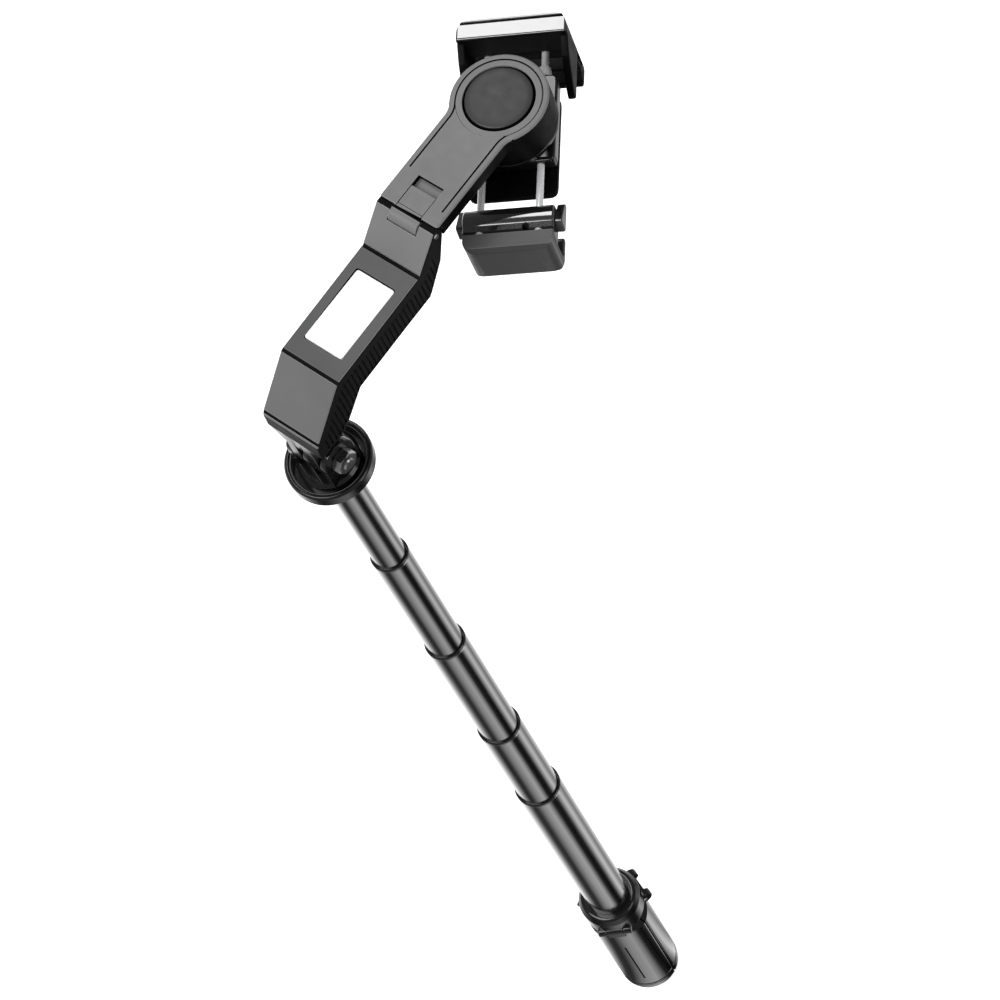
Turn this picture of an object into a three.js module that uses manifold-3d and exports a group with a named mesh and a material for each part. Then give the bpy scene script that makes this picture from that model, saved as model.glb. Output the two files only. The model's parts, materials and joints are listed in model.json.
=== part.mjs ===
// Folding phone gimbal on a telescopic pole with a three-leg handle.
// Millimetres, +Z up the pole, X along the hinge pins, the arm reaches towards +Y.
import * as THREE from "three";
import { mergeVertices } from "three/addons/utils/BufferGeometryUtils.js";
import Module from "manifold-3d";

const wasm = await Module();
wasm.setup();

// ---- driving dimensions -------------------------------------------------------------

const gap = 0.3; // running gap between neighbours that move past each other
const seam = 0.05; // gap between faces that only touch

const handle = { radius: 14.4, inner: 10.3, pinZ: 90, pinRadius: 13.2, eye: 2.8, eyeWidth: 8 };
const legAngles = [71, 191, 311];
const legGapDeg = 3; // angle left open between two folded legs
const foot = { height: 9 };
const hub = { bottom: 86.6, top: 107, bore: 9.98, lobe: 17, lobeWidth: 15.5 };

const wall = 0.6; // wall of the telescopic tubes
// outer radius and the heights of both ends of each tube, from the handle upwards
const tubes = [
  { name: "tube_a", radius: 9.9, bottom: 3.2, top: 250.7 },
  { name: "tube_b", radius: 9.0, bottom: 225.7, top: 322.1 },
  { name: "tube_c", radius: 8.1, bottom: 297.6, top: 411.8 },
  { name: "tube_d", radius: 7.2, bottom: 387.3, top: 494.3 },
  { name: "tube_e", radius: 6.3, bottom: 470.3, top: 564 },
];
const mouth = { height: 1.3, play: 0.12 };
const glide = { height: 4, play: 0.1 };

const capFlange = { radius: 11, bottom: 564.05, top: 568 };
const spindle = { radius: 4, top: 573.2 };
const cup = { radius: 15.6, bottom: 568.3, floor: 572, top: 576.4, rimWidth: 1.7 };
const tilt = { y: 0, z: 586, radius: 7.2, bolt: 2.4 };
const clevisFingers = [[-9, -6.2], [-1.4, 1.4], [6.2, 9]];
const armFingers = [[-5.9, -1.7], [1.7, 5.9]];

const armHalf = 12.35; // half the width of the folding arm
// side view of the lower arm, as (y, z): the four upper fold edges, then the underside
const armTop = [[-6.4, 607.6], [-5.6, 609.3], [11.8, 625.2], [56.1, 626.5], [68.9, 637.7]];
const armUnder = [[66.7, 622.1], [57.2, 611.9], [43, 611.8], [18.5, 611.2], [9, 603.3], [5.5, 601.4]];
const armFront = [[-6.8, 600.2]];
const panel = { x: 8.2, y0: 19.2, y1: 48.3, depth: 1.6 };
const battery = { x: 6.6, y0: 22, y1: 45.5, bottom: 614.6, top: 623.2 };

const fold = { y: 68.9, z: 634.4, radius: 3.3, pin: 1.1, half: 6 };
const plate = { start: 70, top: 637.7, bottom: 631.4 };
const motor = { y: 119.8, ring: 17.05, cavity: 14.6, bottom: 621.6, capRadius: 12.1, stepRadius: 14.8 };
const latch = { x: 5.2, y0: 71.6, y1: 79, travel: 3.8, depth: 2 };

// the phone clamp: u across, v up the clamp, w out of the plate, origin on the motor axis
const clampTurnDeg = 35.6;
const body = { u: 15.2, v0: -14, v1: 19.5, w0: -24.6, w1: -18.9 };
const back = { u: 15.2, v0: -24, v1: 14, w0: -27.2, w1: -24.9 };
const rods = { u: 10, w: -21.7, radius: 1.25, upperEnd: 7, lowerEnd: -4.5 };
const phone = { v0: -40.2, v1: 31.8, w0: -36.2, w1: -27.9 };
const jaw = { left: -18.2, right: 20, lowerRight: 18, cheek: 2.6, lip: 2.6, shoulder: 2.5 };

// ---- small helpers ------------------------------------------------------------------

const rad = (degrees) => (degrees * Math.PI) / 180;

function toSolid(geometry) {
  const g = geometry.index ? geometry : geometry.clone();
  g.deleteAttribute("normal");
  g.deleteAttribute("uv");
  const merged = mergeVertices(g, 1e-4);
  const mesh = new wasm.Mesh({
    numProp: 3,
    vertProperties: new Float32Array(merged.attributes.position.array),
    triVerts: new Uint32Array(merged.index.array),
  });
  return new wasm.Manifold(mesh);
}

function fromSolid(solid) {
  const mesh = solid.getMesh();
  const g = new THREE.BufferGeometry();
  g.setAttribute("position", new THREE.BufferAttribute(new Float32Array(mesh.vertProperties), 3));
  g.setIndex(new THREE.BufferAttribute(new Uint32Array(mesh.triVerts), 1));
  return g;
}

function cut(base, ...tools) {
  return fromSolid(tools.reduce((solid, tool) => solid.subtract(toSolid(tool)), toSolid(base)));
}

function join(base, ...others) {
  return fromSolid(others.reduce((solid, other) => solid.add(toSolid(other)), toSolid(base)));
}

function common(a, b) {
  return fromSolid(toSolid(a).intersect(toSolid(b)));
}

function box(x0, x1, y0, y1, z0, z1) {
  const g = new THREE.BoxGeometry(x1 - x0, y1 - y0, z1 - z0);
  return g.translate((x0 + x1) / 2, (y0 + y1) / 2, (z0 + z1) / 2);
}

// a solid of revolution about Z from (radius, z) pairs
function turned(pairs, segments = 24) {
  const points = pairs.map(([r, z]) => new THREE.Vector2(r, z));
  return new THREE.LatheGeometry(points, segments).rotateX(Math.PI / 2);
}

function disc(radius, z0, z1, segments = 24) {
  return turned([[0, z0], [radius, z0], [radius, z1], [0, z1]], segments);
}

function ring(outer, inner, z0, z1, segments = 24) {
  return turned([[inner, z0], [outer, z0], [outer, z1], [inner, z1], [inner, z0]], segments);
}

// a round bar along X centred on (y, z)
function barX(radius, x0, x1, y, z, segments = 20) {
  return disc(radius, x0, x1, segments).rotateY(Math.PI / 2).translate(0, y, z);
}

// a side view in (y, z) made solid from x0 to x1
function slabX(outline, x0, x1) {
  const shape = new THREE.Shape(outline.map(([y, z]) => new THREE.Vector2(y, z)));
  const g = new THREE.ExtrudeGeometry(shape, { depth: x1 - x0, bevelEnabled: false });
  g.applyMatrix4(new THREE.Matrix4().set(0, 0, 1, x0, 1, 0, 0, 0, 0, 1, 0, 0, 0, 0, 0, 1));
  return g;
}

// a plan view in (x, y) made solid from z0 to z1
function slabZ(outline, z0, z1) {
  const shape = new THREE.Shape(outline.map(([x, y]) => new THREE.Vector2(x, y)));
  const g = new THREE.ExtrudeGeometry(shape, { depth: z1 - z0, bevelEnabled: false });
  return g.translate(0, 0, z0);
}

// points of an arc about (a, b), both end angles included
function arc(a, b, radius, fromDeg, toDeg, steps) {
  const at = (k) => rad(fromDeg + ((toDeg - fromDeg) * k) / steps);
  return Array.from({ length: steps + 1 }, (_, k) => [
    a + radius * Math.cos(at(k)),
    b + radius * Math.sin(at(k)),
  ]);
}

const gimbal = new THREE.Group();
gimbal.name = "phone_gimbal";

const looks = {
  black: { color: 0x17181a, roughness: 0.35, metalness: 0 },
  grey: { color: 0x77797c, roughness: 0.45, metalness: 0.2 },
  tube: { color: 0x3a3b3f, roughness: 0.2, metalness: 0.9 },
  steel: { color: 0xc8cacc, roughness: 0.15, metalness: 1 },
  rubber: { color: 0x0d0d0e, roughness: 0.8, metalness: 0 },
  white: { color: 0xf4f4f4, roughness: 0.2, metalness: 0 },
  copper: { color: 0xb06a3a, roughness: 0.4, metalness: 0.9 },
};

function add(name, geometry, look) {
  const mesh = new THREE.Mesh(geometry, new THREE.MeshStandardMaterial(looks[look]));
  mesh.name = name;
  gimbal.add(mesh);
}

// clamp parts are drawn square to the clamp and turned into place here
function addClamp(name, geometry, look) {
  geometry.rotateZ(rad(clampTurnDeg)).translate(0, motor.y, plate.top);
  add(name, geometry, look);
}

// ---- handle: hub, three folding legs, feet and pins ---------------------------------

// sector of the handle's wall, centred on +X, between two heights
function legSector(outer, inner, z0, z1) {
  const half = 60 - legGapDeg / 2;
  const outline = [...arc(0, 0, outer, -half, half, 14), ...arc(0, 0, inner, half, -half, 14)];
  return slabZ(outline, z0, z1);
}

function legBlank() {
  const shoulder = handle.pinZ - 5;
  const sector = legSector(handle.radius, handle.inner, foot.height + seam, shoulder);
  const w = handle.eyeWidth / 2;
  // seen from outside the leg narrows towards its eye
  const front = [[-20, 0], [20, 0], [20, shoulder - 13], [w + 1, shoulder], [-w - 1, shoulder], [-20, shoulder - 13]];
  const shape = new THREE.Shape(front.map(([y, z]) => new THREE.Vector2(y, z)));
  const mask = new THREE.ExtrudeGeometry(shape, { depth: 20, bevelEnabled: false });
  mask.applyMatrix4(new THREE.Matrix4().set(0, 0, 1, 0, 1, 0, 0, 0, 0, 1, 0, 0, 0, 0, 0, 1));
  return common(sector, mask);
}

function makeLeg() {
  const w = handle.eyeWidth / 2;
  const stem = box(handle.pinRadius - 2, handle.pinRadius + 1.9, -w, w, handle.pinZ - 7, handle.pinZ);
  const eye = disc(handle.eye, -w, w, 20).rotateX(Math.PI / 2);
  eye.translate(handle.pinRadius, 0, handle.pinZ);
  const hole = disc(1.1, -w - 1, w + 1, 16).rotateX(Math.PI / 2);
  hole.translate(handle.pinRadius, 0, handle.pinZ);
  const groove = box(handle.radius - 0.6, handle.radius + 1, -0.6, 0.6, 18, handle.pinZ - 23);
  return cut(join(legBlank(), stem, eye), hole, groove);
}

function makeFoot() {
  return legSector(handle.radius, handle.inner, 0, foot.height);
}

function lugPair() {
  const w = hub.lobeWidth / 2;
  const outline = [...arc(handle.pinRadius, handle.pinZ, 3.9, -90, 90, 8), [8, handle.pinZ + 3.9], [8, hub.bottom]];
  const shape = new THREE.Shape(outline.map(([r, z]) => new THREE.Vector2(r, z)));
  const g = new THREE.ExtrudeGeometry(shape, { depth: 2 * w, bevelEnabled: false });
  // (r, z, depth) to (x, z, -y)
  g.applyMatrix4(new THREE.Matrix4().set(1, 0, 0, 0, 0, 0, -1, w, 0, 1, 0, 0, 0, 0, 0, 1));
  return g;
}

function makeHub() {
  const profile = [[7, hub.bottom], [12.6, hub.bottom], [14.4, hub.bottom + 2.4], [14.4, hub.top - 3.4], [12.6, hub.top], [7, hub.top]];
  let solid = turned([...profile, profile[0]], 36);
  const w = handle.eyeWidth / 2 + gap;
  for (const angle of legAngles) {
    solid = join(solid, lugPair().rotateZ(rad(angle)));
  }
  for (const angle of legAngles) {
    const slot = box(handle.inner - 0.1, 20, -w, w, hub.bottom - 5, handle.pinZ + handle.eye + 0.6);
    const hole = disc(1.1, -12, 12, 16).rotateX(Math.PI / 2);
    hole.translate(handle.pinRadius, 0, handle.pinZ);
    solid = cut(solid, slot.rotateZ(rad(angle)), hole.rotateZ(rad(angle)));
  }
  return cut(solid, disc(hub.bore, hub.bottom - 5, hub.top + 5));
}

function makeHandle() {
  add("leg_hub", makeHub(), "black");
  legAngles.forEach((angle, k) => {
    add(`leg_${k + 1}`, makeLeg().rotateZ(rad(angle)), "black");
    add(`leg_${k + 1}_foot`, makeFoot().rotateZ(rad(angle)), "rubber");
    const pin = disc(1.05, -7.3, 7.3, 16).rotateX(Math.PI / 2);
    pin.translate(handle.pinRadius, 0, handle.pinZ);
    add(`leg_${k + 1}_pin`, pin.rotateZ(rad(angle)), "steel");
  });
  const outer = tubes[0].radius;
  const plug = [[0, 0], [outer, 0], [outer, 3.15], [9.2, 3.15], [9.2, 12], [0, 12]];
  add("base_plug", turned(plug), "black");
}

// ---- telescopic pole ----------------------------------------------------------------

function makePole() {
  tubes.forEach((tube, k) => {
    add(tube.name, ring(tube.radius, tube.radius - wall, tube.bottom, tube.top), "tube");
    if (k > 0) {
      const outer = tubes[k - 1].radius - wall - glide.play;
      const low = tube.bottom - seam - glide.height;
      const sleeve = ring(outer, tube.radius - wall, low, tube.bottom - seam);
      add(`${tube.name}_glide`, sleeve, "rubber");
    }
    if (k < tubes.length - 1) {
      const inner = tubes[k + 1].radius + mouth.play;
      const z0 = tube.top + seam;
      add(`${tube.name}_mouth`, ring(tube.radius, inner, z0, z0 + mouth.height), "black");
    }
  });
}

// ---- head: cap, swivel cup, clevis, bolt and nut ------------------------------------

function makeHead() {
  const fit = tubes[4].radius - wall - 0.1;
  const cap = [
    [0, 552], [fit, 552], [fit, 564.05], [capFlange.radius - 2, 564.05], [capFlange.radius, 566],
    [capFlange.radius, capFlange.top], [spindle.radius, capFlange.top], [spindle.radius, spindle.top],
    [0, spindle.top],
  ];
  add("pole_cap", turned(cap), "black");

  const bore = spindle.radius + 0.1;
  const rim = cup.radius - cup.rimWidth;
  const dish = [
    [bore, cup.bottom], [11.6, cup.bottom], [14.6, 569.6], [cup.radius, 571.4], [cup.radius, 575.6],
    [cup.radius - 0.6, cup.top], [rim, cup.top], [rim, cup.floor], [bore, cup.floor], [bore, cup.bottom],
  ];
  add("swivel_cup", turned(dish, 32), "black");
  add("cup_trim", ring(rim - 0.1, rim - 1.1, cup.floor + seam, cup.top - 0.8, 32), "steel");
  add("tilt_clevis", makeClevis(), "black");
  add("tilt_bolt", makeBolt(), "steel");
  add("tilt_nut", makeNut(), "steel");
}

function makeClevis() {
  const z0 = cup.floor + seam;
  const foot = cut(disc(11.2, z0, z0 + 4.2), disc(spindle.radius + 0.4, z0 - 1, spindle.top + 0.4, 24));
  const fingers = clevisFingers.map(([x0, x1]) => {
    const side = [...arc(tilt.y, tilt.z, tilt.radius, 0, 180, 14), [-tilt.radius, z0 + 2], [tilt.radius, z0 + 2]];
    return slabX(side, x0, x1);
  });
  const solid = join(foot, ...fingers);
  return cut(solid, barX(tilt.bolt + 0.05, -20, 20, tilt.y, tilt.z), ...armFingers.map(fingerSlot));
}

// room for an arm finger inside the clevis foot
function fingerSlot([x0, x1]) {
  return barX(tilt.radius + 0.6, x0 - 0.3, x1 + 0.3, tilt.y, tilt.z, 32);
}

function makeBolt() {
  const shank = barX(tilt.bolt, -9.3, 13.6, tilt.y, tilt.z);
  return join(shank, barX(4.2, -11.6, -9.05, tilt.y, tilt.z));
}

function makeNut() {
  const hex = barX(4.6, 9.1, 12.8, tilt.y, tilt.z, 6);
  return cut(hex, barX(tilt.bolt + 0.08, 8, 14, tilt.y, tilt.z));
}

// ---- lower arm ----------------------------------------------------------------------

function lowerArmSide() {
  const knuckle = arc(fold.y, fold.z, fold.radius, 90, -24, 8);
  return [...armTop.slice(0, -1), ...knuckle, ...armUnder, ...armFront];
}

// the neck under the wide part of the arm, down to the two hinge fingers
function neckSide() {
  const round = arc(tilt.y, tilt.z, tilt.radius, 180, 360, 14);
  return [[-6.8, 602], ...round, [tilt.radius, 596], [8.4, 603.6]];
}

function makeLowerArm() {
  const shell = slabX(lowerArmSide().reverse(), -armHalf, armHalf);
  const [left, right] = armFingers.map(([x0, x1]) => slabX(neckSide(), x0, x1));
  const bridge = slabX([[-6.9, 594.6], [6.9, 594.6], [8.4, 603.6], [-6.8, 602]], -9.5, 9.5);
  const hole = barX(tilt.bolt + 0.1, -20, 20, tilt.y, tilt.z);
  const knuckleRoom = barX(fold.radius + gap, -fold.half - gap, fold.half + gap, fold.y, fold.z, 32);
  const above = box(-fold.half - gap, fold.half + gap, fold.y, 90, 630, 650);
  const pinHole = barX(fold.pin + 0.05, -20, 20, fold.y, fold.z, 16);
  const window = box(-panel.x - 0.3, panel.x + 0.3, panel.y0 - 0.3, panel.y1 + 0.3, 625 - panel.depth, 630);
  const well = box(
    -battery.x - 0.4, battery.x + 0.4, battery.y0 - 0.4, battery.y1 + 0.4, battery.bottom - 0.4, 628,
  );
  return cut(join(shell, bridge, left, right), hole, knuckleRoom, above, pinHole, window, well);
}

function makeArm() {
  add("lower_arm", makeLowerArm(), "grey");
  const base = 625 - panel.depth + seam;
  const slope = (626.5 - 625.2) / (56.1 - 11.8);
  const height = (y) => 625.2 + (y - 11.8) * slope;
  const side = [
    [panel.y0, base], [panel.y1, base], [panel.y1, height(panel.y1)], [panel.y0, height(panel.y0)],
  ];
  add("window_panel", slabX(side, -panel.x, panel.x), "white");
  const cell = box(-battery.x, battery.x, battery.y0, battery.y1, battery.bottom, battery.top);
  add("battery_cell", cell, "copper");
  add("fold_pin", barX(fold.pin, -armHalf + 0.4, armHalf - 0.4, fold.y, fold.z, 16), "steel");
}

// ---- upper arm, motor and latch -----------------------------------------------------

function plateOutline() {
  const r = motor.ring;
  const blend = 7; // radius of the fillet between the straight edge and the round end
  const dy = Math.sqrt((r + blend) ** 2 - (armHalf + blend) ** 2);
  const touch = (Math.atan2(dy, armHalf + blend) * 180) / Math.PI;
  const cy = motor.y - dy;
  return [
    [armHalf, plate.start],
    ...arc(armHalf + blend, cy, blend, 180, 180 - touch, 5),
    ...arc(0, motor.y, r, -touch, 180 + touch, 30),
    ...arc(-armHalf - blend, cy, blend, touch, 0, 5),
    [-armHalf, plate.start],
  ];
}

function makeUpperArm() {
  const blade = slabZ(plateOutline(), plate.bottom, plate.top);
  const drum = disc(motor.ring - 0.02, motor.bottom, plate.top - 1, 36).translate(0, motor.y, 0);
  const cavity = disc(motor.cavity, 600, plate.top - 2.4, 32).translate(0, motor.y, 0);
  const step = disc(motor.stepRadius, plate.top - 0.7, 650, 32).translate(0, motor.y, 0);
  const throat = disc(motor.capRadius + 0.4, 600, 650, 32).translate(0, motor.y, 0);
  const knuckle = barX(fold.radius, -fold.half, fold.half, fold.y, fold.z);
  const neck = box(-fold.half, fold.half, fold.y, plate.start + 4, plate.bottom, plate.top);
  const sides = [[-20, -fold.half - 0.02], [fold.half + 0.02, 20]];
  const rooms = sides.map(([x0, x1]) => barX(fold.radius + gap, x0, x1, fold.y, fold.z, 32));
  rooms.push(...sides.map(([x0, x1]) => box(x0, x1, plate.start - 1, plate.start + 1.9, 630, 633)));
  const pinHole = barX(fold.pin + 0.1, -20, 20, fold.y, fold.z, 16);
  const pocket = box(
    -latch.x - 0.25, latch.x + 0.25, latch.y0 - 0.25, latch.y1 + latch.travel + 0.3,
    plate.top - latch.depth - 0.1, 650,
  );
  const solid = cut(blade, ...rooms);
  return cut(join(solid, drum, knuckle, neck), cavity, step, throat, pinHole, pocket);
}

function makeUpper() {
  add("upper_arm", makeUpperArm(), "grey");
  const trim = ring(motor.stepRadius - 0.1, motor.capRadius + 0.5, plate.top - 0.65, plate.top - 0.1, 32);
  add("motor_trim", trim.translate(0, motor.y, 0), "steel");
  const r = motor.capRadius;
  const top = plate.top + 0.5;
  const cap = [[0, plate.top - 2.9], [r, plate.top - 2.9], [r, top - 0.7], [r - 0.7, top], [0, top + 0.35]];
  add("motor_cap", turned(cap, 32).translate(0, motor.y, 0), "grey");
  const stator = ring(motor.cavity - 0.1, 5, 624.6, 633.6, 32);
  add("motor_stator", stator.translate(0, motor.y, 0), "copper");
  add("latch_slider", makeLatch(), "grey");
}

function makeLatch() {
  const top = plate.top;
  const block = box(-latch.x, latch.x, latch.y0, latch.y1, top - latch.depth, top);
  const ribs = [1.6, 2.9, 4.2].map((s) => box(-3.6, 3.6, latch.y0 + s, latch.y0 + s + 0.6, top - 0.4, top + 1));
  return cut(block, ...ribs);
}

// ---- clamp --------------------------------------------------------------------------

function makeRotor() {
  const flange = [
    [0, -19.4], [10, -19.4], [10, -18.2], [16.4, -18.2], [16.4, -16.4], [4.4, -16.4], [4.4, -4.4], [0, -4.4],
  ];
  return turned(flange, 32);
}

// a bar along v at (u, w)
function barV(radius, v0, v1, u, w, segments = 16) {
  return disc(radius, v0, v1, segments).rotateX(-Math.PI / 2).translate(u, 0, w);
}

function rodHoles(play) {
  return [-rods.u, rods.u].map((u) => barV(rods.radius + play, -80, 80, u, rods.w));
}

function makeClampBody() {
  const block = box(-body.u, body.u, body.v0, body.v1, body.w0, body.w1);
  const seat = disc(10.1, -19.5, -10);
  const pockets = [-rods.u, rods.u].map((u) => box(u - 3.4, u + 3.4, -12.4, -5, -30, -10));
  return cut(block, seat, ...pockets, ...rodHoles(0.1));
}

function makeBush(u, v0, v1, wide, narrow) {
  const profile = [
    [rods.radius + 0.1, 0], [wide, 0], [narrow, v1 - v0], [rods.radius + 0.1, v1 - v0], [rods.radius + 0.1, 0],
  ];
  return turned(profile, 20).rotateX(-Math.PI / 2).translate(u, v0, rods.w);
}

// side view of a clamp part in (v, w) made solid from u0 to u1
function slabU(outline, u0, u1) {
  return slabX(outline, u0, u1);
}

function makeUpperJaw() {
  const top = phone.v1 + 6.6;
  const lipW = phone.w0 - jaw.lip;
  const hook = [
    [top - 1.6, lipW], [top, lipW + 1.6], [top, -10.4], [top - 2.4, -8], [top - 9.4, -8], [top - 9.4, -19],
    [phone.v1 - 0.6, -24.4], [phone.v1 - 0.6, phone.w1 + 0.3], [phone.v1 + 1, phone.w1 + 0.3],
    [phone.v1 + 1, phone.w0 - 0.1], [phone.v1 - 6.6, phone.w0 - 0.1], [phone.v1 - 6.6, lipW + 0.8],
    [phone.v1 - 5.6, lipW],
  ];
  const cheek = [
    [top - 8.4, -10], [top - 5, -26.6], [14.4, -27.4], [13.2, -26], [14.6, -23.2], [23, -14],
  ];
  const main = slabU(hook, jaw.left, jaw.right);
  const cheeks = [[jaw.left, jaw.left + jaw.cheek], [jaw.right - jaw.cheek, jaw.right]];
  const solid = join(main, ...cheeks.map(([u0, u1]) => slabU(cheek.slice().reverse(), u0, u1)));
  return cut(solid, ...upperRodSeats());
}

function upperRodSeats() {
  return [-rods.u, rods.u].map((u) => barV(rods.radius + 0.05, 20, phone.v1 + 5.1, u, rods.w));
}

function makeLowerJaw() {
  const bottom = phone.v0 - 5.6;
  const lipW = phone.w0 - jaw.lip;
  const barrel = arc(phone.v0 + 6.2, -25, 5.9, 45, 115, 8);
  const hook = [
    [bottom, lipW + 1.4], [bottom + 1.4, lipW], [phone.v0 + 5.4, lipW], [phone.v0 + 6.4, lipW + 0.8],
    [phone.v0 + 6.4, phone.w0 - 0.1], [phone.v0 - 1, phone.w0 - 0.1], [phone.v0 - 1, phone.w1 + 0.3],
    [phone.v0 + 10.4, phone.w1 + 0.3], ...barrel, [bottom + 1.6, -20.6], [bottom, -22.2],
  ];
  const cheek = [
    [phone.v0 + 4, -20.4], [phone.v0 + 3, -27.4], [-27.6, -27.4], [-26.8, -26], [-28, -24.4],
  ];
  const left = jaw.left + jaw.shoulder;
  const right = jaw.lowerRight - jaw.shoulder;
  const main = slabU(hook, left, right);
  const wings = [slabU(cheek, right - 0.01, jaw.lowerRight), slabU(cheek, jaw.left, left + 0.01)];
  const seats = [-rods.u, rods.u].map((u) => barV(rods.radius + 0.05, phone.v0 + 1.2, 0, u, rods.w));
  return cut(join(main, ...wings), ...seats);
}

function makeJawPads() {
  const m = 0.05;
  const upper = box(jaw.left + 1, jaw.right - 1, phone.v1 - 0.2, phone.v1 + 1 - m, phone.w0 + 0.4, phone.w1 - 0.4);
  const lower = box(jaw.left + 3.5, jaw.lowerRight - 3.5, phone.v0 - 1 + m, phone.v0 + 0.2, phone.w0 + 0.4, phone.w1 - 0.4);
  addClamp("upper_jaw_pad", upper, "rubber");
  addClamp("lower_jaw_pad", lower, "rubber");
}

function makeClamp() {
  addClamp("motor_rotor", makeRotor(), "steel");
  addClamp("clamp_body", makeClampBody(), "black");
  addClamp("back_plate", box(-back.u, back.u, back.v0, back.v1, back.w0, back.w1), "black");
  const pad = box(-back.u + 0.8, back.u - 0.8, back.v0 + 0.8, back.v1 - 0.8, phone.w1 + 0.05, back.w0 - seam);
  addClamp("back_pad", pad, "rubber");
  addClamp("upper_jaw", makeUpperJaw(), "black");
  addClamp("lower_jaw", makeLowerJaw(), "black");
  for (const [side, u] of [["left", -rods.u], ["right", rods.u]]) {
    addClamp(`upper_rod_${side}`, barV(rods.radius, rods.upperEnd, phone.v1 + 5, u, rods.w), "steel");
    addClamp(`lower_rod_${side}`, barV(rods.radius, phone.v0 + 1.3, rods.lowerEnd, u, rods.w), "steel");
    addClamp(`upper_bush_${side}`, makeBush(u, body.v1 + seam, body.v1 + 4.2, 2.8, 2.1), "white");
    addClamp(`lower_bush_${side}`, makeBush(u, -12.35, -5.2, 2.8, 2.0), "white");
  }
  makeJawPads();
}

makeHandle();
makePole();
makeHead();
makeArm();
makeUpper();
makeClamp();

export default gimbal;
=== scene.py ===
import json
import math

import bmesh
import bpy
from mathutils import Matrix, Vector

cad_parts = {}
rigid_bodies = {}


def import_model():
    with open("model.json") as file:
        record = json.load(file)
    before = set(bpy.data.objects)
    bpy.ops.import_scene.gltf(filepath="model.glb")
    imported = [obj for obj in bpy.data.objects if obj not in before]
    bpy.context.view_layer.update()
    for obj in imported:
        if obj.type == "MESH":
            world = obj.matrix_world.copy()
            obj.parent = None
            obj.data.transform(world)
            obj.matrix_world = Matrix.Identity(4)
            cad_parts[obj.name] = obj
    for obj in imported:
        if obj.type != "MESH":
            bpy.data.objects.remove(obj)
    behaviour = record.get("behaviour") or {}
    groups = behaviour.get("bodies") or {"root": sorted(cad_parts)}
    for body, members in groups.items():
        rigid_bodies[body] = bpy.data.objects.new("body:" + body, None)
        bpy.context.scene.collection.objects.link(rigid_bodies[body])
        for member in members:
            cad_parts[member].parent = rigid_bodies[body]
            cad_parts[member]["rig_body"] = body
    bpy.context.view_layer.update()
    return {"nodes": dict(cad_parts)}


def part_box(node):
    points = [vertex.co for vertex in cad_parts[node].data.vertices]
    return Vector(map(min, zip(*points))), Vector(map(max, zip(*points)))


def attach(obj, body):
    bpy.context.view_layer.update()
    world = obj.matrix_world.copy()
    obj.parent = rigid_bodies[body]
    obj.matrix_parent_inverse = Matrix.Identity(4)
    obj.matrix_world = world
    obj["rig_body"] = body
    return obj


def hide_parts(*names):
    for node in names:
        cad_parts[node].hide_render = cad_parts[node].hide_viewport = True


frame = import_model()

# Outlines and sizes are in millimetres; every mesh is scaled to metres once, when it is made.
MM = 0.001


def span(node):
    """Lowest and highest corner of a CAD node, in millimetres."""
    lo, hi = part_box(node)
    return lo / MM, hi / MM


# ---- places and sizes -----------------------------------------------------------------

# read from the frame
ARM_HALF = span("lower_arm")[1].x
PLATE_TOP = span("upper_arm")[1].z
RING_RADIUS = span("upper_arm")[1].x
CAP_LO, CAP_HI = span("motor_cap")
CAP_RADIUS = CAP_HI.x
CUP_LO, CUP_HI = span("swivel_cup")
FOLD_PIN_RADIUS = 1.1
FOLD_Y = span("fold_pin")[0].y + FOLD_PIN_RADIUS
FOLD_Z = span("fold_pin")[0].z + FOLD_PIN_RADIUS
MOTOR_Y = (CAP_LO.y + CAP_HI.y) / 2
MOTOR = Matrix.Translation((0, MOTOR_Y, 0))

# the joints' own places and turns, as in the record
LEG_ANGLES = (71, 191, 311)
TILT_Z = 586.0
CLAMP_TURN = math.radians(35.6)
CLAMP = Matrix.Translation((0, MOTOR_Y, PLATE_TOP)) @ Matrix.Rotation(CLAMP_TURN, 4, "Z")
IN_CLAMP = CLAMP.inverted()


def clamp_span(node):
    """Lowest and highest corner of a clamp part in the clamp's own axes (u, v, w)."""
    points = [IN_CLAMP @ (v.co / MM) for v in frame["nodes"][node].data.vertices]
    lo = Vector(min(p[k] for p in points) for k in range(3))
    hi = Vector(max(p[k] for p in points) for k in range(3))
    return lo, hi


# ---- materials ------------------------------------------------------------------------

def principled(name, roughness, metallic=0.0, specular=0.5, coat=0.0):
    """A new material with its node tree and its shader."""
    material = bpy.data.materials.new(name)
    material.use_nodes = True
    shader = material.node_tree.nodes["Principled BSDF"]
    shader.inputs["Roughness"].default_value = roughness
    shader.inputs["Metallic"].default_value = metallic
    shader.inputs["Specular IOR Level"].default_value = specular
    shader.inputs["Coat Weight"].default_value = coat
    return material, material.node_tree, shader


def grain(tree, scale, detail=3.0, stretch=(1, 1, 1)):
    """Noise in the object's own coordinates; scale is features per metre."""
    coords = tree.nodes.new("ShaderNodeTexCoord")
    mapping = tree.nodes.new("ShaderNodeMapping")
    mapping.inputs["Scale"].default_value = stretch
    noise = tree.nodes.new("ShaderNodeTexNoise")
    noise.inputs["Scale"].default_value = scale
    noise.inputs["Detail"].default_value = detail
    tree.links.new(coords.outputs["Object"], mapping.inputs["Vector"])
    tree.links.new(mapping.outputs["Vector"], noise.inputs["Vector"])
    return noise.outputs["Fac"]


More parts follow.
